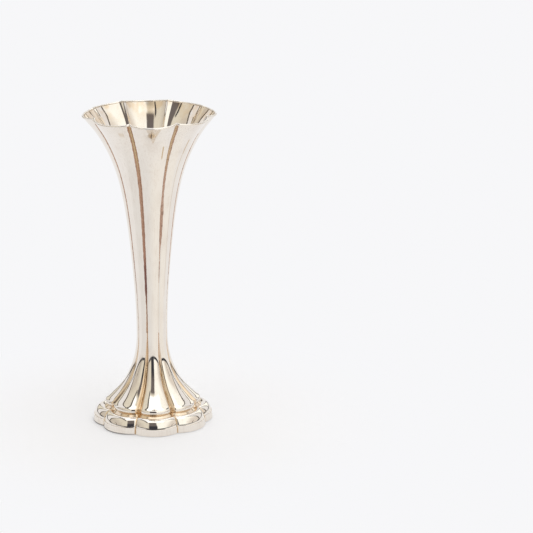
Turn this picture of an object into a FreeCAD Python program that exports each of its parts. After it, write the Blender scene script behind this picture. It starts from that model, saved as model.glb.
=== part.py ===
import FreeCAD, Part
import math
import os
from collections import namedtuple

# Trumpet vase in polished silver. Eight lobes run in one line from the flared mouth down the stem,
# over a petal foot and into a stepped, loaded base. Millimetres, +Z up, one lobe faces -Y.
# The origin is on the axis, in the plane that the vase stands on.

Vector = FreeCAD.Vector

# Overall sizes, measured at the lobe tips
mouth_height = 149.2
mouth_radius = 31.0
waist_height = 45.0
waist_radius = 7.4
lobe_count = 8

# Sheet metal
sheet = 0.5

# Section at the waist: a rounded panel for each lobe, and a narrow channel between two panels
waist_scallop = 0.15
waist_channel_depth = 0.3
waist_channel_width = 1.1

# Section at the mouth, where the channels end in kinks that stand above the lobe tips
mouth_scallop = 2.5
mouth_channel_depth = 0.4
mouth_channel_width = 2.0
mouth_rise = 1.1

# Outline of the trumpet from the waist up, as shares of its height and of its growth in radius
trumpet_shares = [(0.0, 0.0), (0.142, 0.017), (0.394, 0.106), (0.605, 0.226), (0.776, 0.415), (0.882, 0.627),
                  (0.952, 0.826), (0.981, 0.932), (1.0, 1.0)]
# How late the scallop, the channel width and the rise come in as the form grows from the waist
scallop_power = 1.4
petal_scallop_power = 0.5
width_power = 0.5
rise_power = 8

# Wire along the mouth
wire_radius = 0.55

# Scalloped tier of the base: a pillow, a ledge and an upright skirt
base_radius = 28.8
skirt_flare = 0.25
skirt_lift = 0.3
ledge_width = 0.35
ledge_height = 3.5
pillow_width = 3.3
pillow_rise = 4.4
pillow_start_angle = 118
pillow_end_angle = 15
tier_scallop = 2.3
tier_channel_depth = 0.25
tier_channel_width = 1.0

# Petals of the foot, which end in rounded toes above the pillow
toe_gap = 0.35
toe_lift = 2.7
toe_round = 1.1
toe_start_angle = 65
toe_end_angle = -70
toe_scallop = 2.0
toe_channel_depth = 1.2
toe_channel_width = 3.0
petal_shares = [(0.0, 0.0), (0.089, 0.0), (0.266, 0.033), (0.444, 0.12), (0.592, 0.247), (0.74, 0.428),
                (0.858, 0.655), (0.947, 0.889), (1.0, 1.0)]

# Cap that closes the stem
cap_clearance = 0.1
cap_reach = 4.0
cap_floor = 0.8

# Filling, closing plate and pad of the base
fill_gap = 0.4
plate_thickness = 0.8
plate_clearance = 0.1
pad_thickness = 1.2
pad_inset = 0.6

# Fineness of the model
trumpet_steps = 22
trumpet_step_power = 1.45
petal_steps = 16
petal_step_power = 0.7
toe_steps = 3
pillow_steps = 4
wire_steps = 6
loading_steps = 5

half_pitch = math.pi / lobe_count
all_lobes = range(lobe_count)
right_lobes = all_lobes[:lobe_count // 2]
left_lobes = all_lobes[lobe_count // 2:]

# One level of the lobed form. Radius and height are at the lobe tips; rise is how far the bottoms of the
# channels stand above the tips.
Ring = namedtuple("Ring", "radius height scallop depth width rise")

waist_ring = Ring(waist_radius, waist_height, waist_scallop, waist_channel_depth, waist_channel_width, 0)
mouth_ring = Ring(mouth_radius, mouth_height, mouth_scallop, mouth_channel_depth, mouth_channel_width,
                  mouth_rise)
ledge_ring = Ring(base_radius - skirt_flare, ledge_height, tier_scallop, tier_channel_depth,
                  tier_channel_width, 0)
pillow_ring = ledge_ring._replace(radius=ledge_ring.radius - ledge_width)


def blend(start, end, share):
    return start + (end - start) * share


def blended_ring(start, end, spot, scallop_curve):
    """Ring at a spot of the outline between two named rings."""
    share = max(0, (spot[0] - start.radius) / (end.radius - start.radius))
    return Ring(spot[0], spot[1],
                blend(start.scallop, end.scallop, share ** scallop_curve),
                blend(start.depth, end.depth, share),
                blend(start.width, end.width, share ** width_power),
                end.rise * share ** rise_power)


def polar(radius, angle):
    return radius * math.cos(math.radians(angle)), radius * math.sin(math.radians(angle))


def sampled_outline(points, start_direction, end_direction, places):
    """Spots along a smooth curve through points, each spot a radius and a height."""
    curve = Part.BSplineCurve()
    curve.interpolate(Points=[Vector(radius, 0, height) for radius, height in points],
                      InitialTangent=Vector(start_direction[0], 0, start_direction[1]),
                      FinalTangent=Vector(end_direction[0], 0, end_direction[1]))
    spots = [curve.value(blend(curve.FirstParameter, curve.LastParameter, place)) for place in places]
    return [(spot.x, spot.z) for spot in spots]


def pillow_spot(angle):
    """Spot on the pillow's round, at an angle. Its width and rise run from the crest to the ledge."""
    reach, climb = polar(1, angle)
    end_reach, end_climb = polar(1, pillow_end_angle)
    return (pillow_ring.radius - pillow_width * (1 - reach / end_reach),
            ledge_height + pillow_rise * (climb - end_climb) / (1 - end_climb))


def share_points(start, end, shares):
    """Points between two corners of an outline, from shares of its height and of its growth."""
    return [(blend(start[0], end[0], growth), blend(start[1], end[1], rise)) for rise, growth in shares]


def panel_centre(ring):
    """Distance from the axis to the centre of a panel's arc."""
    edge = ring.radius - ring.scallop
    return (ring.radius ** 2 - edge ** 2) / (2 * (ring.radius - edge * math.cos(half_pitch)))


def scallop_radius(centre, arc, turn):
    """Distance from the axis to a panel's arc, at an angle from the middle of the lobe."""
    return centre * math.cos(turn) + math.sqrt(arc ** 2 - (centre * math.sin(turn)) ** 2)


def place(radius, turn, lobe, height):
    angle = turn + 2 * half_pitch * lobe
    return Vector(radius * math.sin(angle), -radius * math.cos(angle), height)


def channel_bottom(ring, lobe, side):
    return place(ring.radius - ring.scallop - ring.depth, side * half_pitch, lobe, ring.height + ring.rise)


def lobe_edges(ring, lobe):
    """Half a channel, the panel's arc and half a channel."""
    centre = panel_centre(ring)
    turn = half_pitch - ring.width / 2 / (ring.radius - ring.scallop)
    radius = scallop_radius(centre, ring.radius - centre, turn)
    height = ring.height + ring.rise * (ring.radius - radius) / (ring.scallop + ring.depth)
    start = place(radius, -turn, lobe, height)
    end = place(radius, turn, lobe, height)
    return [Part.LineSegment(channel_bottom(ring, lobe, -1), start).toShape(),
            Part.Arc(start, place(ring.radius, 0, lobe, ring.height), end).toShape(),
            Part.LineSegment(end, channel_bottom(ring, lobe, 1)).toShape()]


def ring_wire(ring, lobes=all_lobes):
    return Part.Wire([edge for lobe in lobes for edge in lobe_edges(ring, lobe)])


def skin(rings, lobes=all_lobes):
    """Surface over a stack of rings."""
    return Part.makeLoft([ring_wire(ring, lobes) for ring in rings], False, True)


def band(upper, lower, lobes=all_lobes):
    """Surface between two rings, which may lie in one plane."""
    pairs = zip(ring_wire(upper, lobes).Edges, ring_wire(lower, lobes).Edges)
    return Part.Compound([Part.makeRuledSurface(one, two) for one, two in pairs])


def solid_from(shapes):
    shell = Part.makeShell([face for shape in shapes for face in shape.Faces])
    shell.sewShape()
    solid = Part.makeSolid(shell)
    if solid.Volume < 0:
        solid.reverse()
    return solid


def prism(ring, height):
    return Part.Face(ring_wire(ring)).extrude(Vector(0, 0, height))


def outline_normals(rings):
    """Outward normals of a stack that runs downwards, lengthened at corners so that walls stay even."""
    spots = [(ring.radius, ring.height) for ring in rings]
    sides = []
    for start, end in zip(spots, spots[1:]):
        length = math.dist(start, end)
        sides.append(((start[1] - end[1]) / length, (end[0] - start[0]) / length))
    pairs = zip(sides[:1] + sides, sides + sides[-1:])
    return [tuple((a + b) / (1 + one[0] * two[0] + one[1] * two[1]) for a, b in zip(one, two))
            for one, two in pairs]


def moved_in(ring, normal, depth):
    """The ring at a depth below the surface, which a normal as radius and height points away from."""
    centre = panel_centre(ring)
    radius = ring.radius - depth * normal[0]
    edge = scallop_radius(centre, radius - centre, half_pitch)
    bottom = ring.radius - ring.scallop - ring.depth - depth * normal[0]
    return Ring(radius, ring.height - depth * normal[1], radius - edge, edge - bottom, ring.width + depth,
                ring.rise)


def stack_moved_in(rings, depth):
    return [moved_in(ring, normal, depth) for ring, normal in zip(rings, outline_normals(rings))]


def trumpet_rings():
    """Outside of the trumpet, from the mouth down to the waist."""
    waist = (waist_radius, waist_height)
    mouth = (mouth_radius, mouth_height)
    points = share_points(waist, mouth, trumpet_shares)
    lip_run = points[-1][0] - points[-2][0], points[-1][1] - points[-2][1]
    places = [1 - (step / trumpet_steps) ** trumpet_step_power for step in range(trumpet_steps + 1)]
    spots = sampled_outline(points, (0, waist_height), lip_run, places)
    return [blended_ring(waist_ring, mouth_ring, spot, scallop_power) for spot in spots]


def trumpet_half(lobes):
    """Stamped half of the trumpet, with its seams at the bottoms of two opposite channels."""
    outside = trumpet_rings()
    inside = stack_moved_in(outside, sheet)
    ends = [band(outside[end], inside[end], lobes) for end in (0, -1)]
    seams = []
    for lobe, side in ((lobes[0], -1), (lobes[-1], 1)):
        corners = [channel_bottom(ring, lobe, side) for ring in outside + inside[::-1]]
        seams.append(Part.Face(Part.makePolygon(corners + corners[:1])))
    return solid_from([skin(outside, lobes), skin(inside, lobes)] + ends + seams)


def mouth_wire():
    """Bead soldered on the edge of the sheet, with a round section cut flat where it sits."""
    rings = trumpet_rings()
    lip = rings[0]
    normal = outline_normals(rings)[0]
    lift = math.sqrt(wire_radius ** 2 - (sheet / 2) ** 2)
    start = -math.degrees(math.atan2(lift, sheet / 2))
    around = []
    for step in range(wire_steps + 1):
        out, up = polar(wire_radius, blend(start, 180 - start, step / wire_steps))
        bead = moved_in(lip, normal, sheet / 2 - out)
        along = lift + up
        around.append(bead._replace(radius=bead.radius - along * normal[1],
                                    height=bead.height + along * normal[0]))
    return solid_from([skin(around), band(around[-1], around[0])])


def toe_spot(angle):
    """Spot on the rounded toe of a petal, at an angle above its widest level."""
    valley_radius, valley_height = pillow_spot(pillow_start_angle)
    reach, climb = polar(toe_round, angle)
    return valley_radius - toe_gap - toe_round + reach, valley_height + toe_lift + climb


def petal_rings():
    """Outside of the petals, from the waist down to the undersides of the toes."""
    toe_ring = Ring(*toe_spot(0), toe_scallop, toe_channel_depth, toe_channel_width, 0)
    points = share_points((waist_radius, waist_height), toe_spot(toe_start_angle), petal_shares)
    sides, fall = polar(1, toe_start_angle)
    places = [(step / petal_steps) ** petal_step_power for step in range(petal_steps + 1)]
    spots = sampled_outline(points, (0, -1), (fall, -sides), places)
    for step in range(1, toe_steps + 1):
        spots.append(toe_spot(blend(toe_start_angle, toe_end_angle, step / toe_steps)))
    return [blended_ring(waist_ring, toe_ring, spot, petal_scallop_power) for spot in spots]


def valley_ring(above, below):
    """Ring half way between the toes and the pillow."""
    return Ring(*(blend(one, two, 1 / 2) for one, two in zip(above, below)))


def foot_outline():
    """Outside of the foot, from the waist down to the edge of the ledge."""
    petals = petal_rings()
    tier = []
    for step in range(pillow_steps + 1):
        radius, height = pillow_spot(blend(pillow_start_angle, pillow_end_angle, step / pillow_steps))
        tier.append(ledge_ring._replace(radius=radius, height=height))
    return petals + [valley_ring(petals[-1], tier[0])] + tier + [ledge_ring]


def foot_shell():
    outside = foot_outline() + [ledge_ring._replace(radius=base_radius, height=skirt_lift)]
    inside = stack_moved_in(outside, sheet)
    inside[-1] = inside[-1]._replace(height=skirt_lift)
    walls = [band(upper, lower) for side in (outside, inside) for upper, lower in zip(side, side[1:])]
    return solid_from(walls + [band(outside[end], inside[end]) for end in (0, -1)])


def stem_cap():
    """Cap soldered inside the waist: it joins trumpet and foot and keeps water out of the base."""
    outer = moved_in(waist_ring, (1, 0), sheet + cap_clearance)._replace(height=waist_height - cap_reach)
    hollow = moved_in(outer, (1, 0), sheet)
    return prism(outer, 2 * cap_reach).cut(prism(hollow, 2 * cap_reach - cap_floor))


def foot_loading():
    """Pitch between the plate and the cap, turned round inside the bottoms of the channels."""
    rings = stack_moved_in(petal_rings()[:petal_steps], sheet + fill_gap)
    top = waist_height - cap_reach - fill_gap
    base = pad_thickness + plate_thickness
    side = [(ring.radius - ring.scallop - ring.depth, ring.height) for ring in rings if ring.height < top]
    side = side[::petal_steps // loading_steps]
    toe_end = toe_spot(toe_end_angle)
    neck = toe_end[0] - toe_scallop - toe_channel_depth - sheet - fill_gap
    shoulder = pillow_spot(pillow_start_angle)[1] - sheet - fill_gap
    heel = plate_ring().radius - tier_scallop - tier_channel_depth - fill_gap
    outline = [(0, top), (side[0][0], top)] + side + [(neck, toe_end[1]), (neck, shoulder)]
    outline += [(heel, ledge_height), (heel, base), (0, base), (0, top)]
    profile = Part.Face(Part.makePolygon([Vector(radius, 0, height) for radius, height in outline]))
    return profile.revolve(Vector(0, 0, 0), Vector(0, 0, 1), 360)


def plate_ring():
    return moved_in(ledge_ring, (1, 0), sheet + ledge_width + plate_clearance)


def base_plate():
    return prism(plate_ring()._replace(height=pad_thickness), plate_thickness)


def baize_pad():
    return prism(moved_in(plate_ring(), (1, 0), pad_inset)._replace(height=0), pad_thickness)


def save(name, shape):
    shape.exportStep(os.path.join("parts", name + ".step"))
    print(name, "valid", shape.isValid(), "volume", round(shape.Volume, 2), "solids", len(shape.Solids))


os.makedirs("parts", exist_ok=True)
save("mouth_wire", mouth_wire())
save("trumpet_half_right", trumpet_half(right_lobes))
save("trumpet_half_left", trumpet_half(left_lobes))
save("stem_cap", stem_cap())
save("foot_shell", foot_shell())
save("foot_loading", foot_loading())
save("base_plate", base_plate())
save("baize_pad", baize_pad())
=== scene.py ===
import math
from collections import namedtuple

import bmesh
import bpy
import numpy as np
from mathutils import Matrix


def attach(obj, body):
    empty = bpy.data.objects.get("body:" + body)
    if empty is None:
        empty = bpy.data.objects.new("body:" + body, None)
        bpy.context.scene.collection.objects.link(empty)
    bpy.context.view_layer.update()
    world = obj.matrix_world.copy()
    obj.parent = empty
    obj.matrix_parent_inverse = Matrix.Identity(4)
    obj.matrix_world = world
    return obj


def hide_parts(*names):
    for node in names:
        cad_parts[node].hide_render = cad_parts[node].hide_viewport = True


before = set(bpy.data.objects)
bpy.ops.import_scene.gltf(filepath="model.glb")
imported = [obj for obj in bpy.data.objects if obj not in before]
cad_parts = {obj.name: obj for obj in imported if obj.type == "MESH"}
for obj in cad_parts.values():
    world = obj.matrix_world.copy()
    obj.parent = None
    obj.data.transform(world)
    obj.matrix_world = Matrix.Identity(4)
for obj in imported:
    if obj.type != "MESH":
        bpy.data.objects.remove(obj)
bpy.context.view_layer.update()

# Looks of the polished silver trumpet vase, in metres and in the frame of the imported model
MM = 0.001

# Lobed sheet, with the radii and heights of its lobe tips
LOBES = 8
LOBE_DEGREES = 360 / LOBES
HALF_PITCH = math.pi / LOBES
SHEET = 0.5 * MM
LIP_EASE = 0.3

# Waist, where the trumpet meets the foot
WAIST_HEIGHT = 45 * MM
WAIST_RADIUS = 7.4 * MM
WAIST_SCALLOP = 0.15 * MM
WAIST_DEPTH = 0.3 * MM
WAIST_WIDTH = 1.1 * MM

# Trumpet. The shares are of its rise from the waist and of the radius gained by then
MOUTH_HEIGHT = 149.2 * MM
MOUTH_RADIUS = 31 * MM
MOUTH_SCALLOP = 2.5 * MM
MOUTH_DEPTH = 0.4 * MM
MOUTH_WIDTH = 2.0 * MM
MOUTH_RISE = 1.1 * MM
TRUMPET_SHARES = [(0.0, 0.0), (0.142, 0.017), (0.394, 0.106), (0.605, 0.226), (0.776, 0.415),
                  (0.882, 0.627), (0.952, 0.826), (0.981, 0.932), (1.0, 1.0)]
SCALLOP_POWER = 1.4
WIDTH_POWER = 0.5
RISE_POWER = 8
WIRE_RADIUS = 0.55 * MM

# Skirt, ledge and pillow of the base. The shares down the pillow's side are of its width and rise
BASE_RADIUS = 28.8 * MM
SKIRT_FLARE = 0.25 * MM
SKIRT_LIFT = 0.3 * MM
LEDGE_WIDTH = 0.35 * MM
LEDGE_HEIGHT = 3.5 * MM
PILLOW_WIDTH = 3.3 * MM
PILLOW_RISE = 4.4 * MM
PILLOW_START_ANGLE = 118
PILLOW_END_ANGLE = 15
PILLOW_CREST = (BASE_RADIUS - SKIRT_FLARE - LEDGE_WIDTH - PILLOW_WIDTH, LEDGE_HEIGHT + PILLOW_RISE)
PILLOW_SIDE_SHARES = [(0.52, 0.77), (0.82, 0.44), (0.93, 0.22), (0.962, 0.13), (0.981, 0.065), (1, 0)]
CORNER_CUT = 0.25
TIER_SCALLOP = 2.3 * MM
TIER_DEPTH = 0.25 * MM
TIER_WIDTH = 1.0 * MM

# Petals and their toes. The shares are of the fall from the waist and of the radius gained by then
TOE_GAP = 0.35 * MM
TOE_LIFT = 2.6 * MM
TOE_ROUND = 1.5 * MM
TOE_START_ANGLE = 58
TOE_END_ANGLE = -70
VALLEY_TOE_SHARE = 0.75
TOE_SCALLOP = 2.0 * MM
TOE_DEPTH = 1.2 * MM
TOE_WIDTH = 3.0 * MM
PETAL_SHARES = [(0.0, 0.0), (0.089, 0.0), (0.266, 0.033), (0.444, 0.12), (0.592, 0.247), (0.74, 0.428),
                (0.858, 0.655), (0.955, 0.88), (1.0, 1.0)]
PETAL_SCALLOP_POWER = 0.5

# Fineness of the meshes
LOBE_STEPS = 38
LOBE_CROWDING = 0.96
TRUMPET_STEPS = 150
PETAL_STEPS = 72
TOE_STEPS = 12
VALLEY_STEPS = 4
CORNER_ROUNDS = 3
SKIRT_STEPS = 4
WIRE_STEPS = 14
SHARP_ANGLE = 38

Ring = namedtuple("Ring", "radius height scallop depth width rise")
waist_ring = Ring(WAIST_RADIUS, WAIST_HEIGHT, WAIST_SCALLOP, WAIST_DEPTH, WAIST_WIDTH, 0)
mouth_ring = Ring(MOUTH_RADIUS, MOUTH_HEIGHT, MOUTH_SCALLOP, MOUTH_DEPTH, MOUTH_WIDTH, MOUTH_RISE)
ledge_ring = Ring(BASE_RADIUS - SKIRT_FLARE, LEDGE_HEIGHT, TIER_SCALLOP, TIER_DEPTH, TIER_WIDTH, 0)


# Curves and outlines
def blend(start, end, share):
    return start + (end - start) * share


def polar(radius, angle):
    return radius * math.cos(math.radians(angle)), radius * math.sin(math.radians(angle))


def unit(direction):
    return np.array(direction) / np.linalg.norm(direction)


def cubic_spot(one, two, one_slope, two_slope, share):
    """Spot between two points, on the cubic curve that has the given slopes at them."""
    cube, square = share ** 3, share ** 2
    return ((2 * cube - 3 * square + 1) * one + (cube - 2 * square + share) * one_slope
            + (3 * square - 2 * cube) * two + (cube - square) * two_slope)


def smooth_outline(points, start_direction, end_direction, places):
    """Spots on a smooth curve through the points, with set directions at its ends."""
    points = np.array(points)
    runs = np.linalg.norm(np.diff(points, axis=0), axis=1)
    knots = np.concatenate([[0], np.cumsum(runs)])
    count = len(points)
    matrix = np.zeros((count, count))
    right = np.zeros((count, 2))
    matrix[0, 0] = matrix[-1, -1] = 1
    right[0] = unit(start_direction)
    right[-1] = unit(end_direction)
    for i in range(1, count - 1):
        before, after = runs[i - 1], runs[i]
        matrix[i, i - 1:i + 2] = after, 2 * (before + after), before
        pull_before = (points[i] - points[i - 1]) * after / before
        pull_after = (points[i + 1] - points[i]) * before / after
        right[i] = 3 * (pull_before + pull_after)
    slopes = np.linalg.solve(matrix, right)
    spots = []
    for place in places:
        length = place * knots[-1]
        i = min(int(np.searchsorted(knots, length, side="right")) - 1, count - 2)
        share = (length - knots[i]) / runs[i]
        one_slope, two_slope = runs[i] * slopes[i], runs[i] * slopes[i + 1]
        spots.append(cubic_spot(points[i], points[i + 1], one_slope, two_slope, share))
    return spots


def share_points(start, end, shares):
    return [(blend(start[0], end[0], growth), blend(start[1], end[1], rise)) for rise, growth in shares]


def blended_ring(start, end, spot, scallop_power):
    """Ring at a spot of the outline between two named rings."""
    share = max(0, (spot[0] - start.radius) / (end.radius - start.radius))
    return Ring(spot[0], spot[1], blend(start.scallop, end.scallop, share ** scallop_power),
                blend(start.depth, end.depth, share), blend(start.width, end.width, share ** WIDTH_POWER),
                end.rise * share ** RISE_POWER)


def ring_between(one, two, share):
    return Ring(*(blend(start, end, share) for start, end in zip(one, two)))


def trumpet_rings():
    """Rings of the trumpet, from the mouth down to the waist."""
    waist = (WAIST_RADIUS, WAIST_HEIGHT)
    mouth = (MOUTH_RADIUS, MOUTH_HEIGHT)
    points = share_points(waist, mouth, TRUMPET_SHARES)
    lip_run = np.subtract(points[-1], points[-2])
    places = [1 - step / TRUMPET_STEPS for step in range(TRUMPET_STEPS + 1)]
    spots = smooth_outline(points, (0, 1), lip_run, places)
    return [blended_ring(waist_ring, mouth_ring, spot, SCALLOP_POWER) for spot in spots]


def valley_spot():
    """Inner edge of the pillow, at the bottom of the valley below the toes."""
    reach, climb = polar(1, PILLOW_START_ANGLE)
    end_reach, end_climb = polar(1, PILLOW_END_ANGLE)
    return (PILLOW_CREST[0] + PILLOW_WIDTH * reach / end_reach,
            PILLOW_CREST[1] - PILLOW_RISE * (1 - climb) / (1 - end_climb))


def toe_spot(angle):
    """Spot on the round of a toe, which hangs over the valley."""
    valley_radius, valley_height = valley_spot()
    reach, climb = polar(TOE_ROUND, angle)
    return valley_radius - TOE_GAP - TOE_ROUND + reach, valley_height + TOE_LIFT + climb


def pillow_corners():
    """Corners down the pillow: a sloping top, a tight bend and a steep lower side."""
    side = [(PILLOW_CREST[0] + out * PILLOW_WIDTH, LEDGE_HEIGHT + up * PILLOW_RISE)
            for out, up in PILLOW_SIDE_SHARES]
    return [valley_spot(), PILLOW_CREST] + side


def pillow_outline():
    """Spots down the pillow, with its corners rounded by repeated cutting."""
    spots = [np.array(corner) for corner in pillow_corners()]
    for _ in range(CORNER_ROUNDS):
        cut = [spots[0]]
        for one, two in zip(spots, spots[1:]):
            cut += [blend(one, two, CORNER_CUT), blend(two, one, CORNER_CUT)]
        spots = cut + [spots[-1]]
    return spots


def foot_rings():
    """Rings of the foot's outside, from the waist down to the lower edge of the skirt."""
    toe_ring = Ring(*toe_spot(0), TOE_SCALLOP, TOE_DEPTH, TOE_WIDTH, 0)
    points = share_points((WAIST_RADIUS, WAIST_HEIGHT), toe_spot(TOE_START_ANGLE), PETAL_SHARES)
    out, up = polar(1, TOE_START_ANGLE)
    places = [step / PETAL_STEPS for step in range(PETAL_STEPS + 1)]
    spots = smooth_outline(points, (0, -1), (up, -out), places)
    for step in range(1, TOE_STEPS + 1):
        spots.append(toe_spot(blend(TOE_START_ANGLE, TOE_END_ANGLE, step / TOE_STEPS)))
    rings = [blended_ring(waist_ring, toe_ring, spot, PETAL_SCALLOP_POWER) for spot in spots]
    tier = [ledge_ring._replace(radius=radius, height=height) for radius, height in pillow_outline()]
    for step in range(1, VALLEY_STEPS):
        rings.append(ring_between(rings[-1], tier[0], step / VALLEY_STEPS))
    rings += tier + [ledge_ring]
    foot_edge = ledge_ring._replace(radius=BASE_RADIUS, height=SKIRT_LIFT)
    rings += [ring_between(ledge_ring, foot_edge, step / SKIRT_STEPS) for step in range(1, SKIRT_STEPS + 1)]
    return rings


# Lobed sections
def panel_centre(ring):
    """Distance from the axis to the centre of the arc that a round panel follows."""
    edge = ring.radius - ring.scallop
    return (ring.radius ** 2 - edge ** 2) / (2 * (ring.radius - edge * math.cos(HALF_PITCH)))


def outline_normals(rings):
    """Outward directions across the outline, long enough to give the sheet an even wall."""
    spots = [(ring.radius, ring.height) for ring in rings]
    sides = []
    for start, end in zip(spots, spots[1:]):
        length = math.dist(start, end)
        sides.append(((start[1] - end[1]) / length, (end[0] - start[0]) / length))
    pairs = zip(sides[:1] + sides, sides + sides[-1:])
    return [tuple((a + b) / (1 + one[0] * two[0] + one[1] * two[1]) for a, b in zip(one, two))
            for one, two in pairs]


def channel_shape(distance, half_width):
    """1 at the bottom of a channel and 0 on the panel, with rounded lips and bottom."""
    share = np.clip(distance / half_width, 0, 1)
    return (1 - share ** 2) ** 2 * (1 - LIP_EASE * share ** 2)


def channel_reach(distance, half_width):
    """1 at the bottom of a channel, 0.5 at its edges and 0 twice as far out."""
    return np.clip(1 - distance / half_width / 2, 0, 1)


def ring_points(ring, normal, depth, turns):
    """Radii, heights and channel reach along a section, moved below the surface by a depth."""
    centre = panel_centre(ring)
    arc = ring.radius - centre
    base = centre * np.cos(turns) + np.sqrt(np.maximum(arc ** 2 - (centre * np.sin(turns)) ** 2, 0))
    distance = (HALF_PITCH - np.abs(turns)) * (ring.radius - ring.scallop)
    channel = channel_shape(distance, ring.width / 2 + depth)
    radius = base - ring.depth * channel
    drop = ring.scallop + ring.depth
    height = ring.height + ring.rise * (ring.radius - radius) / drop
    return radius - depth * normal[0], height - depth * normal[1], channel_reach(distance, ring.width / 2)


def lobe_turns():
    """Angles across one lobe, closer together near its channels."""
    steps = np.linspace(-1, 1, LOBE_STEPS + 1)
    sweep = math.pi / 2 * LOBE_CROWDING
    return HALF_PITCH * np.sin(steps * sweep) / math.sin(sweep)


def grid_rows(rings, normals, depth, lobes):
    """Rows of points over a run of lobes, each with its reach into a channel and its angle in degrees."""
    turns = lobe_turns()
    rows = []
    for ring, normal in zip(rings, normals):
        radius, height, channel = ring_points(ring, normal, depth, turns)
        row = []
        for lobe in lobes:
            open_end = lobe == lobes[-1] and len(lobes) < LOBES
            for i in range(len(turns) if open_end else len(turns) - 1):
                angle = turns[i] + 2 * HALF_PITCH * lobe
                row.append((radius[i] * math.sin(angle), -radius[i] * math.cos(angle), height[i],
                            channel[i], math.degrees(angle)))
        rows.append(row)
    return rows


# Meshes
def add_attribute(mesh, name, values):
    attribute = mesh.attributes.new(name, "FLOAT", "POINT")
    attribute.data.foreach_set("value", np.array(values, np.float32))


def mesh_from_rows(name, loops, closed_round, outside_rows=0, valley_rows=()):
    """Mesh over rows of points that run round the wall's section, outside first and inside back."""
    rows = len(loops)
    count = len(loops[0])
    points = [point for row in loops for point in row]
    faces = []
    for row in range(rows):
        upper, lower = row * count, (row + 1) % rows * count
        for column in range(count if closed_round else count - 1):
            beside = (column + 1) % count
            faces.append((upper + column, lower + column, lower + beside, upper + beside))
    mesh = bpy.data.meshes.new(name)
    mesh.from_pydata([point[:3] for point in points], [], faces)
    add_attribute(mesh, "channel", [point[3] for point in points])
    add_attribute(mesh, "side", [point[4] for point in points])
    add_attribute(mesh, "outside", [float(row < outside_rows) for row in range(rows) for _ in range(count)])
    add_attribute(mesh, "valley", [float(row in valley_rows) for row in range(rows) for _ in range(count)])
    mesh.polygons.foreach_set("use_smooth", np.ones(len(faces), bool))
    mesh.set_sharp_from_angle(angle=math.radians(SHARP_ANGLE))
    mesh.update()
    piece = bpy.data.objects.new(name, mesh)
    bpy.context.scene.collection.objects.link(piece)
    return piece


def cap_seams(mesh, rows, count):
    """Closes the two long seams of an open run of lobes."""
    work = bmesh.new()
    work.from_mesh(mesh)
    work.verts.ensure_lookup_table()
    for column in (0, count - 1):
        for row in range(rows // 2 - 1):
            corners = (row, row + 1, rows - 2 - row, rows - 1 - row)
            work.faces.new([work.verts[corner * count + column] for corner in corners])
    bmesh.ops.recalc_face_normals(work, faces=work.faces)
    work.to_mesh(mesh)
    work.free()


def sheet_piece(name, rings, lobes, valley_rows=()):
    """Piece of sheet over a run of lobes, with its rings on the outside."""
    normals = outline_normals(rings)
    outside = grid_rows(rings, normals, 0, lobes)
    inside = grid_rows(rings, normals, SHEET, lobes)
    loops = outside + inside[::-1]
    piece = mesh_from_rows(name, loops, len(lobes) == LOBES, len(outside), valley_rows)
    if len(lobes) < LOBES:
        cap_seams(piece.data, len(loops), len(loops[0]))
    return piece


def wire_piece(name, rings):
    """Round bead that sits on the edge of the sheet, in the middle of its wall."""
    lip = rings[0]
    normal = outline_normals(rings)[0]
    lift = math.sqrt(WIRE_RADIUS ** 2 - (SHEET / 2) ** 2)
    start = -math.degrees(math.atan2(lift, SHEET / 2))
    loops = []
    for step in range(WIRE_STEPS + 1):
        out, up = polar(WIRE_RADIUS, blend(start, 180 - start, step / WIRE_STEPS))
        along = lift + up
        row = grid_rows([lip], [normal], SHEET / 2 - out, range(LOBES))[0]
        loops.append([(x - along * normal[1] * math.sin(math.radians(angle)),
                       y + along * normal[1] * math.cos(math.radians(angle)),
                       z + along * normal[0], channel, angle) for x, y, z, channel, angle in row])
    return mesh_from_rows(name, loops, True)


# Node trees. A band has the value at which it is 0 and the value from which it is 1
RAMP_SPAN = 160
Grain = namedtuple("Grain", "stretch detail roughness")


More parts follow.
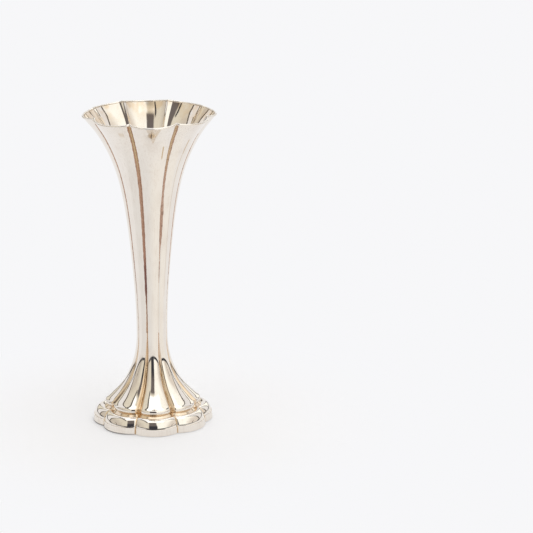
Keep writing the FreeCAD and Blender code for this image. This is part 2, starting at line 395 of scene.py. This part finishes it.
class Nodes:
    """Short ways to write a node tree."""

    def __init__(self, tree):
        self.tree = tree
        tree.nodes.clear()

    def add(self, kind, **values):
        node = self.tree.nodes.new(kind)
        for key, value in values.items():
            setattr(node, key, value)
        return node

    def link(self, output, target):
        self.tree.links.new(output, target)

    def feed(self, value, target):
        if isinstance(value, bpy.types.NodeSocket):
            self.link(value, target)
        else:
            target.default_value = value

    def math(self, operation, *values, clamp=False):
        node = self.add("ShaderNodeMath", operation=operation, use_clamp=clamp)
        for value, target in zip(values, node.inputs):
            self.feed(value, target)
        return node.outputs[0]

    def line(self, value, slope, start):
        return self.math("MULTIPLY_ADD", value, slope, start)

    def rest(self, value):
        return self.math("SUBTRACT", 1, value)

    def product(self, first, *others):
        result = first
        for value in others:
            result = self.math("MULTIPLY", result, value)
        return result

    def band(self, value, start, end):
        """0 at start and 1 at end, with a smooth change between."""
        node = self.add("ShaderNodeMapRange", interpolation_type="SMOOTHSTEP", clamp=True)
        self.feed(value, node.inputs["Value"])
        self.feed(start, node.inputs["From Min"])
        self.feed(end, node.inputs["From Max"])
        return node.outputs["Result"]

    def window(self, value, start, full, fading, end):
        """1 from full to fading, and 0 up to start and from end on."""
        return self.product(self.band(value, start, full), self.band(value, end, fading))

    def near(self, value, middle, reach):
        return self.math("COMPARE", value, middle, reach)

    def mix(self, share, first, second):
        node = self.add("ShaderNodeMix", data_type="RGBA", clamp_factor=True)
        self.feed(share, node.inputs["Factor"])
        self.feed(first, node.inputs[6])
        self.feed(second, node.inputs[7])
        return node.outputs[2]

    def ramp(self, height, stops):
        """Colour by height, from stops given in millimetres."""
        node = self.add("ShaderNodeValToRGB")
        elements = node.color_ramp.elements
        while len(elements) < len(stops):
            elements.new(0.5)
        for element, (place, colour) in zip(elements, stops):
            element.position = place / RAMP_SPAN
            element.color = colour
        self.feed(self.math("DIVIDE", height, RAMP_SPAN), node.inputs[0])
        return node.outputs[0]

    def level(self, height, stops):
        """Number by height, from stops given in millimetres."""
        return self.ramp(height, [(place, (number, number, number, 1)) for place, number in stops])

    def noise(self, vector, scale, detail, roughness):
        node = self.add("ShaderNodeTexNoise")
        self.link(vector, node.inputs["Vector"])
        node.inputs["Scale"].default_value = scale
        node.inputs["Detail"].default_value = detail
        node.inputs["Roughness"].default_value = roughness
        return node.outputs[0]

    def grain(self, place, kind):
        """Noise with its own scale along each axis."""
        node = self.add("ShaderNodeMapping")
        self.link(place, node.inputs["Vector"])
        node.inputs["Scale"].default_value = kind.stretch
        return self.noise(node.outputs[0], 1, kind.detail, kind.roughness)

    def bump(self, height, strength, depth):
        node = self.add("ShaderNodeBump")
        node.inputs["Strength"].default_value = strength
        node.inputs["Distance"].default_value = depth
        self.link(height, node.inputs["Height"])
        return node.outputs[0]

    def attribute(self, name):
        return self.add("ShaderNodeAttribute", attribute_name=name).outputs["Fac"]

    def object_place(self):
        return self.add("ShaderNodeTexCoord").outputs["Object"]

    def split(self, vector):
        node = self.add("ShaderNodeSeparateXYZ")
        self.link(vector, node.inputs[0])
        return node.outputs

    def seen_plainly(self, behind):
        """1 for the camera's rays, and for reflected and bent rays that end behind the vase."""
        rays = self.add("ShaderNodeLightPath").outputs
        bounced = self.math("ADD", rays["Is Glossy Ray"], rays["Is Transmission Ray"])
        return self.math("ADD", rays["Is Camera Ray"], self.product(bounced, behind), clamp=True)


def new_material(name):
    material = bpy.data.materials.new(name)
    material.use_nodes = True
    return material, Nodes(material.node_tree)


def surface(nodes, colour, metallic, roughness, normal):
    shader = nodes.add("ShaderNodeBsdfPrincipled")
    nodes.feed(colour, shader.inputs["Base Color"])
    nodes.feed(metallic, shader.inputs["Metallic"])
    nodes.feed(roughness, shader.inputs["Roughness"])
    nodes.link(normal, shader.inputs["Normal"])
    output = nodes.add("ShaderNodeOutputMaterial")
    nodes.link(shader.outputs[0], output.inputs["Surface"])


# Polished silver, with dull smudges and fine haze, and slight waves in the sheet
SILVER = (0.87, 0.815, 0.745, 1)
DULL_SILVER = (0.80, 0.73, 0.655, 1)
SMUDGES = Grain((150, 150, 60), 4, 0.6)
SMUDGE_BAND = (0.42, 0.75)
SMUDGE_SHARE = 0.7
HAZE = Grain((1300, 1300, 22), 3, 0.6)
HAZE_BAND = (0.48, 0.7)
HAZE_SHARE = 0.6
POLISHED_ROUGHNESS = 0.035
DULL_ROUGHNESS = 0.07
WAVES = Grain((260, 260, 120), 2, 0.5)
WAVE_STRENGTH = 1
WAVE_DEPTH = 0.02 * MM


def silver_base(nodes, place):
    """Colour, roughness and slight unevenness of the polished sheet."""
    smudges = nodes.math("MULTIPLY", nodes.band(nodes.grain(place, SMUDGES), *SMUDGE_BAND), SMUDGE_SHARE)
    haze = nodes.math("MULTIPLY", nodes.band(nodes.grain(place, HAZE), *HAZE_BAND), HAZE_SHARE)
    dullness = nodes.math("ADD", smudges, haze, clamp=True)
    colour = nodes.mix(dullness, SILVER, DULL_SILVER)
    roughness = nodes.line(dullness, DULL_ROUGHNESS, POLISHED_ROUGHNESS)
    return colour, roughness, nodes.bump(nodes.grain(place, WAVES), WAVE_STRENGTH, WAVE_DEPTH)


# Tarnish. Channels are counted to the right from the front lobe, and heights are in millimetres
LEFT_CHANNEL = 7
RIGHT_CHANNEL = 0
GRAIN_MIDDLE = 0.5
RAGGEDNESS = 0.4
GOLD_TARNISH = (0.78, 0.60, 0.41, 1)
# Tan of the tarnish, also laid on as the painted reflection of the foot below the front of the rim
TAN_TARNISH_AND_FOOT_REFLECTION = (0.58, 0.42, 0.25, 1)
OLIVE_GOLD = (0.64, 0.48, 0.28, 1)
PALE_TARNISH = (0.66, 0.48, 0.38, 1)
SPECK = (0.2, 0.11, 0.08, 1)
STAINS = [(30, (0.62, 0.42, 0.26, 1)), (48, (0.54, 0.35, 0.23, 1)), (60, (0.36, 0.21, 0.15, 1)),
          (68, (0.22, 0.10, 0.085, 1)), (76, (0.25, 0.11, 0.085, 1)), (84, (0.44, 0.24, 0.165, 1)),
          (104, (0.46, 0.275, 0.19, 1)), (126, (0.50, 0.30, 0.20, 1)), (142, (0.42, 0.23, 0.135, 1))]


def height_of(nodes, place):
    """Height over the table in millimetres."""
    return nodes.math("DIVIDE", nodes.split(place)[2], MM)


def beside_channel(nodes, number):
    """1 from the middle of one lobe to the middle of the next, round a channel."""
    turn = nodes.math("FLOOR", nodes.math("DIVIDE", nodes.attribute("side"), LOBE_DEGREES))
    return nodes.near(nodes.math("WRAP", turn, LOBES, 0), number, 0.5)


def ragged(nodes, channel, grain):
    """How far a point lies in a channel, made uneven by a grain."""
    unevenness = nodes.math("SUBTRACT", grain, GRAIN_MIDDLE)
    return nodes.math("ADD", channel, nodes.math("MULTIPLY", unevenness, RAGGEDNESS))


# Tarnish on the trumpet: how much of each channel it fills, and how much paler it is in some
STEM_GRAIN = Grain((900, 900, 420), 4, 0.65)
LEFT_FILL = [(40, 1.0), (47, 0.85), (58, 0.5), (66, 0.9), (80, 0.95), (100, 1.1), (126, 1.2), (142, 1.1)]
RIGHT_FILL = [(40, 0.35), (50, 0.0), (66, 0.0), (72, 0.3), (86, 0.35), (93, 1.0), (106, 1.2), (113, 0.7),
              (126, 0.8), (131, 0.8), (140, 1.0)]
OTHER_FILL = [(40, 0.5), (60, 0.45), (80, 0.75), (110, 0.8), (140, 0.9)]
EMPTY_REACH = 0.98
FILL_REACH = 0.5
STAIN_EDGE = 0.1
FILLED = (0.02, 0.25)
OLIVE_REACH = (0.7, 0.85)
OLIVE_HEIGHTS = (120, 136)
RIGHT_PALENESS = [(88, 0.6), (96, 0.25), (110, 0.6), (128, 0.2)]
OTHER_PALENESS = 0.6
SPECK_BAND = (0.56, 0.68)
SPECK_SHARE = 0.6
STAIN_ROUGHNESS = 0.35
STAIN_METAL_LOSS = 0.55


def channel_stain(nodes, height, outside, grain):
    """How stained the trumpet is at a point of its channels, and the colour of the stain."""
    left = beside_channel(nodes, LEFT_CHANNEL)
    right = beside_channel(nodes, RIGHT_CHANNEL)
    fill = nodes.mix(left, nodes.level(height, OTHER_FILL), nodes.level(height, LEFT_FILL))
    fill = nodes.mix(right, fill, nodes.level(height, RIGHT_FILL))
    reach = ragged(nodes, nodes.attribute("channel"), grain)
    edge = nodes.line(fill, -FILL_REACH, EMPTY_REACH)
    share = nodes.band(reach, edge, nodes.math("ADD", edge, STAIN_EDGE))
    share = nodes.product(share, outside, nodes.band(fill, *FILLED))
    olive = nodes.product(nodes.band(reach, *OLIVE_REACH), nodes.band(height, *OLIVE_HEIGHTS))
    colour = nodes.mix(olive, nodes.ramp(height, STAINS), OLIVE_GOLD)
    right_paleness = nodes.product(right, nodes.level(height, RIGHT_PALENESS))
    others = nodes.rest(nodes.math("ADD", left, right))
    colour = nodes.mix(nodes.line(others, OTHER_PALENESS, right_paleness), colour, PALE_TARNISH)
    specks = nodes.math("MULTIPLY", nodes.band(grain, *SPECK_BAND), SPECK_SHARE)
    return share, nodes.mix(specks, colour, SPECK)


# Warm bloom inside the mouth
BLOOMS = Grain((150, 150, 40), 3, 0.6)
BLOOM_BAND = (0.4, 0.6)
BLOOM_HEIGHTS = (140, 149)
BLOOM_SHARE = 0.7


def mouth_bloom(nodes, place, height, outside):
    blooms = nodes.band(nodes.grain(place, BLOOMS), *BLOOM_BAND)
    bloom = nodes.product(nodes.rest(outside), nodes.band(height, *BLOOM_HEIGHTS), blooms)
    return nodes.math("MULTIPLY", bloom, BLOOM_SHARE)


# Dull marks: fine streaks. Painted reflection of the foot: a tan tongue below the front of the rim that
# widens upwards
TONGUE_TIP = 141.25
TONGUE_SPREAD = 0.8
TONGUE_EDGE = (0.8, -0.8)
TONGUE_HEIGHTS = (141, 142.5)
TONGUE_GRAIN = (0.4, 0.6)
TONGUE_LEAST = 0.35
TONGUE_MORE = 0.25
Streak = namedtuple("Streak", "turn half_width low high strength")
STREAKS = [Streak(12.5, 0.8, 132, 139, 0.85), Streak(44, 0.8, 133, 141, 0.8),
           Streak(43.5, 0.8, 62, 133, 0.45), Streak(328, 2.5, 143.5, 146, 0.35)]
STREAK_RISE = 2
STREAK_FADE = 1


# Painted reflection of the foot: tan on the front lobe just below the rim, widening upwards
def painted_foot_reflection(nodes, height, outside, grain):
    half_width = nodes.line(height, TONGUE_SPREAD, -TONGUE_SPREAD * TONGUE_TIP)
    past = nodes.math("SUBTRACT", nodes.math("ABSOLUTE", nodes.attribute("side")), half_width)
    strength = nodes.line(nodes.band(grain, *TONGUE_GRAIN), TONGUE_MORE, TONGUE_LEAST)
    shape = nodes.product(nodes.band(past, *TONGUE_EDGE), nodes.band(height, *TONGUE_HEIGHTS))
    return nodes.product(outside, shape, strength)


def streak_mark(nodes, streak, height, outside):
    beside = nodes.near(nodes.attribute("side"), streak.turn, streak.half_width)
    along = nodes.window(height, streak.low, streak.low + STREAK_RISE, streak.high, streak.high + STREAK_FADE)
    return nodes.product(outside, beside, along, streak.strength)


def stem_material():
    """Trumpet silver, with tarnish in the channels outside, a warm bloom inside the mouth and a painted
    reflection of the foot below the front of the rim.
    """
    material, nodes = new_material("stem_silver")
    place = nodes.object_place()
    height = height_of(nodes, place)
    outside = nodes.attribute("outside")
    grain = nodes.grain(place, STEM_GRAIN)
    colour, roughness, normal = silver_base(nodes, place)
    colour = nodes.mix(mouth_bloom(nodes, place, height, outside), colour, GOLD_TARNISH)
    # Painted reflection of the foot below the front of the rim
    colour = nodes.mix(painted_foot_reflection(nodes, height, outside, grain), colour, TAN_TARNISH_AND_FOOT_REFLECTION)
    for streak in STREAKS:
        colour = nodes.mix(streak_mark(nodes, streak, height, outside), colour, TAN_TARNISH_AND_FOOT_REFLECTION)
    share, stain = channel_stain(nodes, height, outside, grain)
    colour = nodes.mix(share, colour, stain)
    roughness = nodes.line(share, STAIN_ROUGHNESS, roughness)
    metallic = nodes.line(share, -STAIN_METAL_LOSS, 1)
    surface(nodes, colour, metallic, roughness, normal)
    return material


# Tarnish on the foot: where the golden bloom of a channel begins, by height, and what lies over it
FOOT_GRAIN = Grain((700, 700, 260), 4, 0.6)
GOLD_REACHES = [(5, 0.6), (8, 0.4), (12, 0.34), (32, 0.42), (45, 0.68)]
GOLD_EDGE = 0.2
VALLEY_GOLD = 0.85
FAINT_HEIGHTS = (32, 45)
FAINT_LEAST = 0.25
FAINT_MORE = 0.3
TAN_REACH = (0.75, 1.0)
TAN_GRAIN = (0.45, 0.62)
UPPER_HEIGHTS = (26, 44)
UPPER_LEAST = 0.65
UPPER_LEFT_MORE = 0.35
GOLD_ROUGHNESS = 0.14
UPPER_METAL_LOSS = 0.5
# Painted contact shadow: the lower edge of the skirt darkened grey at the left
CONTACT_SHADOW_GREY = (0.1, 0.09, 0.09, 1)
CONTACT_SHADOW_HEIGHTS = (0.8, 0.55)
CONTACT_SHADOW_TURNS = (180, 200, 320, 350)
CONTACT_SHADOW_SHARE = 0.85


def foot_material():
    """Foot silver, with a golden bloom in the channels and in the valley below the toes, and a painted
    contact shadow along the lower edge of the skirt at the left.
    """
    material, nodes = new_material("foot_silver")
    place = nodes.object_place()
    height = height_of(nodes, place)
    grain = nodes.grain(place, FOOT_GRAIN)
    left = beside_channel(nodes, LEFT_CHANNEL)
    reach = ragged(nodes, nodes.product(nodes.attribute("channel"), nodes.attribute("outside")), grain)
    gold_start = nodes.level(height, GOLD_REACHES)
    gold = nodes.band(reach, gold_start, nodes.math("ADD", gold_start, GOLD_EDGE))
    gold = nodes.math("MAXIMUM", gold, nodes.math("MULTIPLY", nodes.attribute("valley"), VALLEY_GOLD))
    browner = nodes.line(left, UPPER_LEFT_MORE, UPPER_LEAST)
    upper = nodes.product(gold, nodes.band(height, *UPPER_HEIGHTS), browner)
    upper_colour = nodes.mix(left, PALE_TARNISH, nodes.ramp(height, STAINS))
    faintness = nodes.line(nodes.band(height, *FAINT_HEIGHTS), FAINT_MORE, FAINT_LEAST)
    gold = nodes.product(gold, nodes.rest(nodes.product(nodes.rest(left), faintness)))
    tan = nodes.product(nodes.band(reach, *TAN_REACH), nodes.band(grain, *TAN_GRAIN))
    # Painted contact shadow: grey over the lowest part of the skirt on its left side
    contact_shadow_side = nodes.window(nodes.attribute("side"), *CONTACT_SHADOW_TURNS)
    edge = nodes.math("MULTIPLY", nodes.product(nodes.band(height, *CONTACT_SHADOW_HEIGHTS), contact_shadow_side), CONTACT_SHADOW_SHARE)
    colour, roughness, normal = silver_base(nodes, place)
    colour = nodes.mix(gold, colour, GOLD_TARNISH)
    colour = nodes.mix(tan, colour, TAN_TARNISH_AND_FOOT_REFLECTION)
    colour = nodes.mix(upper, colour, upper_colour)
    # Painted contact shadow along the lower edge of the skirt
    colour = nodes.mix(edge, colour, CONTACT_SHADOW_GREY)
    roughness = nodes.line(gold, GOLD_ROUGHNESS, roughness)
    metallic = nodes.line(upper, -UPPER_METAL_LOSS, 1)
    surface(nodes, colour, metallic, roughness, normal)
    return material


# Materials of the pieces that stay CAD solids
Look = namedtuple("Look", "name colour metallic roughness scale")
CAD_LOOKS = {"stem_cap": Look("cap_silver", (0.62, 0.56, 0.48, 1), 1.0, 0.35, 500),
             "foot_loading": Look("pitch", (0.05, 0.045, 0.04, 1), 0.0, 0.7, 300),
             "base_plate": Look("plate_steel", (0.5, 0.5, 0.5, 1), 1.0, 0.4, 400),
             "baize_pad": Look("baize", (0.03, 0.12, 0.06, 1), 0.0, 0.95, 2500)}
PLAIN_DETAIL = 5
PLAIN_ROUGHNESS = 0.5
PLAIN_SHADE = 0.7
PLAIN_BUMP = 0.3
PLAIN_BUMP_DEPTH = 0.1 * MM


def plain_material(look):
    material, nodes = new_material(look.name)
    grain = nodes.noise(nodes.object_place(), look.scale, PLAIN_DETAIL, PLAIN_ROUGHNESS)
    darker = tuple(PLAIN_SHADE * part for part in look.colour[:3]) + (1,)
    colour = nodes.mix(grain, darker, look.colour)
    surface(nodes, colour, look.metallic, look.roughness, nodes.bump(grain, PLAIN_BUMP, PLAIN_BUMP_DEPTH))
    return material


# Pieces. The valley's rows run from the lower part of the toes to the pillow's inner edge
valley_start = PETAL_STEPS + int(TOE_STEPS * VALLEY_TOE_SHARE)
valley_end = PETAL_STEPS + TOE_STEPS + VALLEY_STEPS
trumpet = trumpet_rings()
right_half = sheet_piece("trumpet_right", trumpet, range(LOBES // 2))
left_half = sheet_piece("trumpet_left", trumpet, range(LOBES // 2, LOBES))
rim = wire_piece("mouth_bead", trumpet)
foot_cover = sheet_piece("petal_foot", foot_rings(), range(LOBES), range(valley_start, valley_end + 1))

stem_silver = stem_material()
foot_silver = foot_material()
for piece, node, material in ((right_half, "trumpet_half_right", stem_silver),
                              (left_half, "trumpet_half_left", stem_silver),
                              (rim, "mouth_wire", foot_silver), (foot_cover, "foot_shell", foot_silver)):
    piece.data.materials.append(material)
    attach(piece, "root")
    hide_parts(node)

for node, look in CAD_LOOKS.items():
    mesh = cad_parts[node].data
    mesh.materials.clear()
    mesh.materials.append(plain_material(look))

# Floor, which fades into the backdrop away from the vase
BACKDROP = (0.930, 0.930, 0.945, 1)
FLOOR_RADIUS = 0.6
FLOOR_CORNERS = 96
FLOOR_FADE = (0.045, 0.13)
FLOOR_WHITE = (0.66, 0.66, 0.675, 1)
FLOOR_LIFT = 0.34
FLOOR_LEFT = (0.86, 0.86, 0.865, 1)
FLOOR_RIGHT = (0.97, 0.955, 0.93, 1)
FLOOR_TINT_TURNS = (-35, 30)
FLOOR_BEHIND = (-0.05, 0.02)


def floor_material():
    """Matt white near the vase, and further out the backdrop, with a tint in reflections of its front."""
    material, nodes = new_material("floor_white")
    place = nodes.object_place()
    x, y, _ = nodes.split(place)
    distance = nodes.add("ShaderNodeVectorMath", operation="LENGTH")
    nodes.link(place, distance.inputs[0])
    diffuse = nodes.add("ShaderNodeBsdfDiffuse")
    diffuse.inputs["Color"].default_value = FLOOR_WHITE
    lift = nodes.add("ShaderNodeEmission")
    lift.inputs["Color"].default_value = BACKDROP
    lift.inputs["Strength"].default_value = FLOOR_LIFT
    ground = nodes.add("ShaderNodeAddShader")
    nodes.link(diffuse.outputs[0], ground.inputs[0])
    nodes.link(lift.outputs[0], ground.inputs[1])
    turn = nodes.math("DEGREES", nodes.math("ARCTAN2", x, nodes.math("ABSOLUTE", y)))
    tint = nodes.mix(nodes.band(turn, *FLOOR_TINT_TURNS), FLOOR_LEFT, FLOOR_RIGHT)
    seen = nodes.seen_plainly(nodes.band(y, *FLOOR_BEHIND))
    glow = nodes.add("ShaderNodeEmission")
    nodes.link(nodes.mix(seen, tint, BACKDROP), glow.inputs["Color"])
    mixer = nodes.add("ShaderNodeMixShader")
    nodes.link(nodes.band(distance.outputs["Value"], *FLOOR_FADE), mixer.inputs[0])
    nodes.link(ground.outputs[0], mixer.inputs[1])
    nodes.link(glow.outputs[0], mixer.inputs[2])
    output = nodes.add("ShaderNodeOutputMaterial")
    nodes.link(mixer.outputs[0], output.inputs["Surface"])
    return material


def floor_disc():
    turns = [2 * math.pi * i / FLOOR_CORNERS for i in range(FLOOR_CORNERS)]
    points = [(FLOOR_RADIUS * math.cos(turn), FLOOR_RADIUS * math.sin(turn), 0) for turn in turns]
    mesh = bpy.data.meshes.new("floor")
    mesh.from_pydata(points, [], [tuple(range(FLOOR_CORNERS))])
    mesh.materials.append(floor_material())
    floor = bpy.data.objects.new("floor", mesh)
    bpy.context.scene.collection.objects.link(floor)


# Studio surroundings, in degrees by their directions from the vase
CAMERA_SIDE = math.radians(-3.5)
HORIZON = 4
WALL_LEFT = (0.84, 0.80, 0.69, 1)
WALL_RIGHT = (1.22, 1.22, 1.16, 1)
WALL_FAR_LEFT = (0.66, 0.61, 0.54, 1)
WALL_FAR_RIGHT = (0.84, 0.78, 0.71, 1)
WALL_MIDDLE = (-2, 4)
WALL_LEFT_FADE = (-35, -60)
WALL_RIGHT_FADE = (35, 60)
TABLE_LEFT = (0.88, 0.87, 0.87, 1)
TABLE_RIGHT = (0.98, 0.965, 0.94, 1)
TABLE_MIDDLE = (-60, 60)
DARK = (0.05, 0.05, 0.06, 1)
LINE_GREY = (0.14, 0.12, 0.105, 1)
# Dark strip round the camera, which narrows upwards
STRIP_GREY = (0.18, 0.16, 0.155, 1)
STRIP_LEFT = -26
STRIP_RIGHT = 8
STRIP_TAPER = (15, 60)
STRIP_TAPER_LEFT = 4
STRIP_TAPER_RIGHT = -6
STRIP_SOFTNESS = 4
STRIP_TOP = (68, 62)
STRIP_PALER = (22, 40)
# White box over the vase, with a dark edge at its left
WHITE_BOX = (1.5, 1.52, 1.55, 1)
BOX_OVER = (67, 71, 140, 150)
BOX_ACROSS = (-22, -19, 22, 27)
BOX_EDGE_OVER = (60, 64, 120, 130)
BOX_EDGE_ACROSS = (-27, -25, -23, -21)
# Lines in the walls, white walls beside and behind the vase, and the dark skirting line
CORNER_ACROSS = 68
CORNER_HALF_WIDTH = 1.2
CORNER_TOP = (75, 68)
GAP = (112, 116, 134, 140)
BACK = (164, 169)
BACK_OVER = (130, 140)
POSTS = [(111, 2.8), (140, 2.0), (163, 2.0)]
TABLE_EDGE = (HORIZON - 1, HORIZON)
SKIRTING = (*TABLE_EDGE, HORIZON + 2.5, HORIZON + 4)
SKIRTING_END = (168, 164)


def directions(nodes):
    """Where a ray goes. Across is the angle to the right of the camera, over is the angle up from its
    horizon and on past the zenith, azimuth runs from the camera round to the back, and elevation is the
    height over the floor."""
    turned = nodes.add("ShaderNodeVectorRotate", rotation_type="Z_AXIS")
    nodes.link(nodes.add("ShaderNodeTexCoord").outputs["Generated"], turned.inputs["Vector"])
    turned.inputs["Angle"].default_value = -CAMERA_SIDE
    x, y, z = nodes.split(turned.outputs[0])
    forward = nodes.math("MULTIPLY", y, -1)
    across = nodes.math("DEGREES", nodes.math("ARCSINE", x))
    over = nodes.math("DEGREES", nodes.math("ARCTAN2", z, forward))
    azimuth = nodes.math("ABSOLUTE", nodes.math("DEGREES", nodes.math("ARCTAN2", x, forward)))
    elevation = nodes.math("DEGREES", nodes.math("ARCSINE", z))
    return across, over, azimuth, elevation


def wall_colour(nodes, across, over, azimuth, elevation, back):
    """Colour of the walls, with the strip, the box, the posts and the lines in them."""
    wall = nodes.mix(nodes.band(across, *WALL_MIDDLE), WALL_LEFT, WALL_RIGHT)
    wall = nodes.mix(nodes.band(across, *WALL_LEFT_FADE), wall, WALL_FAR_LEFT)
    wall = nodes.mix(nodes.band(across, *WALL_RIGHT_FADE), wall, WALL_FAR_RIGHT)
    taper = nodes.band(over, *STRIP_TAPER)
    left = nodes.line(taper, STRIP_TAPER_LEFT, STRIP_LEFT)
    right = nodes.line(taper, STRIP_TAPER_RIGHT, STRIP_RIGHT)
    left_full = nodes.math("ADD", left, STRIP_SOFTNESS)
    right_end = nodes.math("ADD", right, STRIP_SOFTNESS)
    strip = nodes.window(across, left, left_full, right, right_end)
    strip = nodes.product(strip, nodes.band(over, *STRIP_TOP))
    wall = nodes.mix(strip, wall, nodes.mix(nodes.band(over, *STRIP_PALER), DARK, STRIP_GREY))
    corners = nodes.near(nodes.math("ABSOLUTE", across), CORNER_ACROSS, CORNER_HALF_WIDTH)
    wall = nodes.mix(nodes.product(corners, nodes.band(over, *CORNER_TOP)), wall, LINE_GREY)
    wall = nodes.mix(nodes.math("MAXIMUM", back, nodes.window(azimuth, *GAP)), wall, BACKDROP)
    box = nodes.product(nodes.window(over, *BOX_OVER), nodes.window(across, *BOX_ACROSS))
    wall = nodes.mix(box, wall, WHITE_BOX)
    box_edge = nodes.product(nodes.window(over, *BOX_EDGE_OVER), nodes.window(across, *BOX_EDGE_ACROSS))
    wall = nodes.mix(box_edge, wall, DARK)
    for middle, half_width in POSTS:
        wall = nodes.mix(nodes.near(azimuth, middle, half_width), wall, LINE_GREY)
    skirting = nodes.product(nodes.window(elevation, *SKIRTING), nodes.band(azimuth, *SKIRTING_END))
    return nodes.mix(skirting, wall, DARK)


def studio_world():
    """Table and walls by direction. The camera, and metal that faces the back, see the plain backdrop."""
    world = bpy.data.worlds.new("studio")
    bpy.context.scene.world = world
    world.use_nodes = True
    nodes = Nodes(world.node_tree)
    across, over, azimuth, elevation = directions(nodes)
    back = nodes.band(azimuth, *BACK)
    wall = wall_colour(nodes, across, over, azimuth, elevation, back)
    table = nodes.mix(nodes.band(across, *TABLE_MIDDLE), TABLE_LEFT, TABLE_RIGHT)
    light = nodes.add("ShaderNodeBackground")
    nodes.link(nodes.mix(nodes.band(elevation, *TABLE_EDGE), table, wall), light.inputs["Color"])
    plain = nodes.add("ShaderNodeBackground")
    plain.inputs["Color"].default_value = BACKDROP
    mixer = nodes.add("ShaderNodeMixShader")
    seen = nodes.seen_plainly(nodes.product(back, nodes.band(over, *BACK_OVER)))
    nodes.link(seen, mixer.inputs[0])
    nodes.link(light.outputs[0], mixer.inputs[1])
    nodes.link(plain.outputs[0], mixer.inputs[2])
    output = nodes.add("ShaderNodeOutputWorld")
    nodes.link(mixer.outputs[0], output.inputs["Surface"])


# Camera, as far and as high as the photographer's, with its focal length in pixels of the picture
CAMERA_PLACE = (-70.8 * MM, -1159.7 * MM, 402.2 * MM)
CAMERA_TILT = 74.3
CAMERA_TURN = -6.2
CAMERA_NEAR = 0.01
SENSOR = 36
FOCAL_PIXELS = 2532
PICTURE = 533


def add_camera():
    lens = bpy.data.cameras.new("camera")
    lens.sensor_width = SENSOR
    lens.lens = SENSOR * FOCAL_PIXELS / PICTURE
    lens.clip_start = CAMERA_NEAR
    camera = bpy.data.objects.new("camera", lens)
    camera.location = CAMERA_PLACE
    camera.rotation_euler = (math.radians(CAMERA_TILT), 0, math.radians(CAMERA_TURN))
    bpy.context.scene.collection.objects.link(camera)
    bpy.context.scene.camera = camera


floor_disc()
studio_world()
add_camera()
bpy.context.scene.view_settings.view_transform = "Standard"
